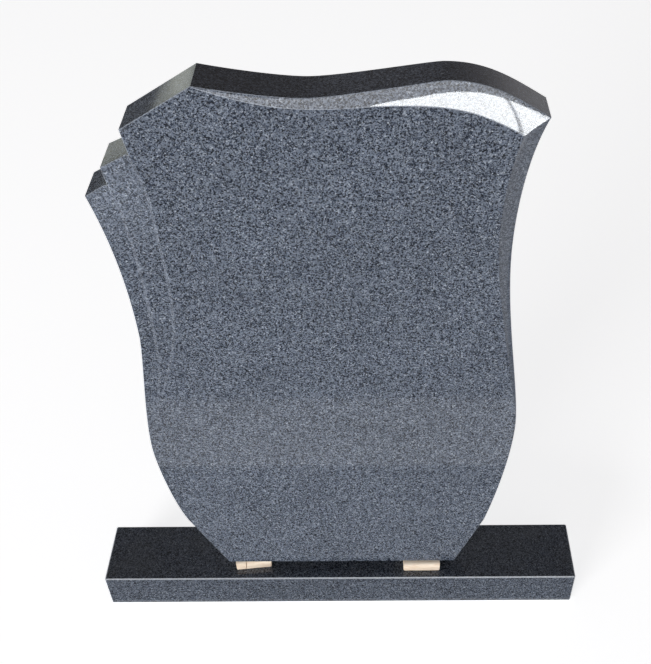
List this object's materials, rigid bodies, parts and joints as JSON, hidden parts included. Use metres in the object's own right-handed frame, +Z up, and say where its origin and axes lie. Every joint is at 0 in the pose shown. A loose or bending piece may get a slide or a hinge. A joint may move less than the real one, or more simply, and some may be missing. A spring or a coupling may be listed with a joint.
{
  "type": "granite headstone",
  "caption": "Upright polished granite headstone with a waisted outline, stepped leaf edge and scooped top band, standing on wooden packing blocks over a plain granite base",
  "frame": {"origin": "middle of the underside of the base, on the ground under the headstone", "axes": "+Z up, the carved face looks along -Y, +X to the right of someone reading the face"},
  "size_m": [0.88, 0.12, 1.0786],
  "materials": {
    "tablet": "fine-grained dark grey granite, polished",
    "base": "fine-grained dark grey granite, polished",
    "spacer_left": "sawn pale pine, unfinished",
    "spacer_right": "sawn pale pine, unfinished"
  },
  "bodies": {
    "root": {"tablet": "tablet", "base": "base", "spacer_left": "spacer_left", "spacer_right": "spacer_right"}
  },
  "joints": []
}
